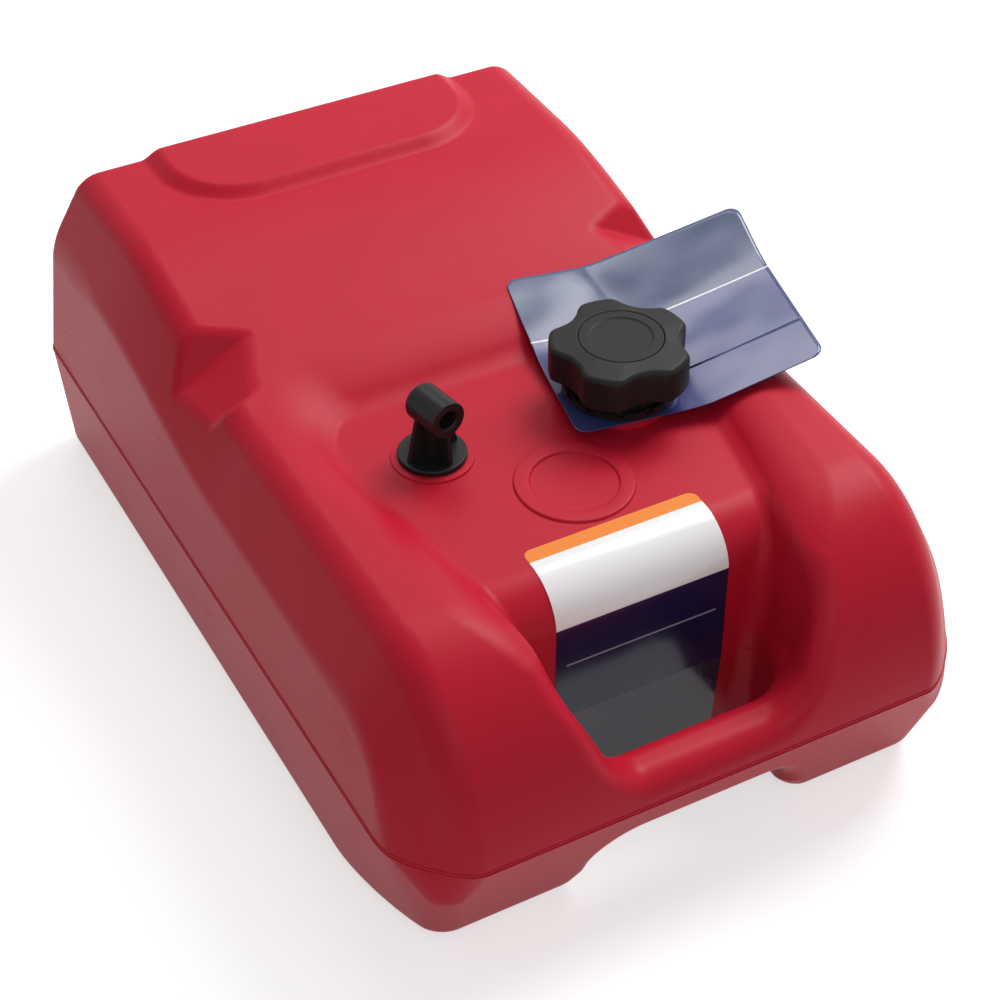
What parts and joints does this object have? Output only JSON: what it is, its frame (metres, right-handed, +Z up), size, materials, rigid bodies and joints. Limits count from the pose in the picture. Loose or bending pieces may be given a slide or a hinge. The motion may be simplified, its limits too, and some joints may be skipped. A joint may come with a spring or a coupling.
{
  "type": "outboard fuel tank",
  "caption": "Low portable fuel tank with a carrying bar, a black lobed ratcheting filler cap and an angled fuel outlet fitting on a recessed top.",
  "frame": {"origin": "centre of the flat base, midway between the sides and midway between the front of the carrying bar and the back", "axes": "+Z up, -Y towards the carrying bar, +Y towards the high back, +X towards the filler cap's side"},
  "size_m": [0.3627, 0.526, 0.2106],
  "materials": {
    "shell": "satin, blow-moulded polyethylene",
    "fitting": "satin",
    "port_gasket": "matt",
    "pickup_tube": "translucent polyethylene",
    "pickup_strainer": "moulded acetal",
    "strainer_mesh": "woven stainless wire",
    "front_label": "printed film",
    "neck_card": "laminated sheet",
    "cap_gasket": "matt",
    "cap_core": "matt",
    "ratchet_pawl_ring": "moulded acetal",
    "cap_knob": "matt, fine texture",
    "cap_top_plug": "matt",
    "valve_body": "moulded acetal",
    "vacuum_poppet": "moulded acetal",
    "poppet_seal": "matt",
    "spring_retainer": "moulded acetal",
    "vacuum_spring": "stainless spring wire",
    "vent_screen": "perforated stainless"
  },
  "bodies": {
    "tank": {"tank_shell": "shell", "outlet_fitting": "fitting", "port_gasket": "port_gasket", "pickup_tube": "pickup_tube", "pickup_strainer": "pickup_strainer", "strainer_mesh": "strainer_mesh", "front_label": "front_label", "neck_card": "neck_card"},
    "cap_seal": {"cap_gasket": "cap_gasket"},
    "cap_inner": {"cap_core": "cap_core", "ratchet_pawl_ring": "ratchet_pawl_ring", "valve_body": "valve_body", "vent_screen": "vent_screen", "vacuum_spring": "vacuum_spring"},
    "cap_grip": {"cap_knob": "cap_knob", "cap_top_plug": "cap_top_plug"},
    "vacuum_valve": {"vacuum_poppet": "vacuum_poppet", "poppet_seal": "poppet_seal", "spring_retainer": "spring_retainer"}
  },
  "joints": [
    {"name": "cap_lift", "type": "slide", "parent": "tank", "child": "cap_seal", "axis": [0, 0, 1], "range_m": [0, 0.0135]},
    {"name": "cap_turn", "type": "hinge", "parent": "cap_seal", "child": "cap_inner", "pos_m": [0.058, -0.059, 0.18], "axis": [0, 0, 1], "range_deg": [0, 810]},
    {"name": "cap_click", "type": "hinge", "parent": "cap_inner", "child": "cap_grip", "pos_m": [0.058, -0.059, 0.19], "axis": [0, 0, -1], "range_deg": [0, 360]},
    {"name": "vacuum_vent", "type": "slide", "parent": "cap_inner", "child": "vacuum_valve", "axis": [0, 0, -1], "range_m": [0, 0.002], "stiffness_N_per_m": 200, "springref_m": -0.002, "deforming": ["vacuum_spring"]}
  ],
  "couplings": [
    {"joint": "cap_lift", "follows": "cap_turn", "m_per_rad": 0.0009549}
  ]
}
